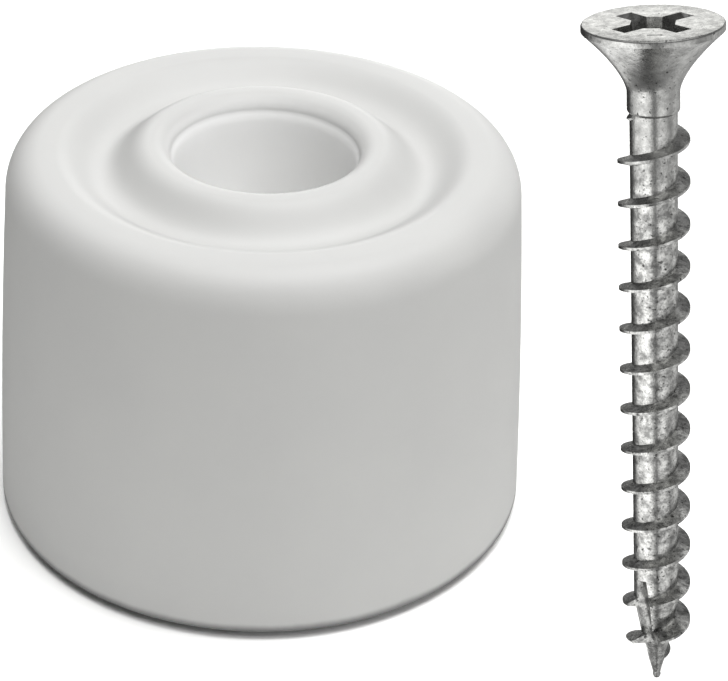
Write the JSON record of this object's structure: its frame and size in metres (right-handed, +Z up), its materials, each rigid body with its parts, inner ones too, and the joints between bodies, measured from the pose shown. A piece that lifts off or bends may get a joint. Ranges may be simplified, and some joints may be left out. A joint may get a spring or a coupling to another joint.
{
  "type": "door stop",
  "caption": "Round rubber door buffer with a ring-grooved top and a deep, narrowing well, a steel seat washer captured in the well, and its separate countersunk wood screw.",
  "frame": {"origin": "in the plane of the buffer's base, below the middle of the box around the buffer and the loose screw; the buffer's axis is at x = -4.19 mm, y = +1.49 mm", "axes": "+Z up along the buffer's axis, from its base to the face that a door strikes; +X from the buffer towards the side where the screw is held; +Y to the back"},
  "size_m": [0.0383, 0.033, 0.0354],
  "materials": {
    "white_rubber": "satin, compression moulded",
    "washer_steel": "zinc plated, stamped",
    "zinc_plated_steel": "bright zinc plated, rolled thread"
  },
  "bodies": {
    "buffer": {"rubber_buffer": "white_rubber", "seat_washer": "washer_steel"},
    "screw": {"fixing_screw": "zinc_plated_steel"}
  },
  "joints": [
    {"name": "screw_lift", "type": "slide", "parent": "buffer", "child": "screw", "axis": [0, 0, 1], "range_m": [0, 0.04]}
  ]
}
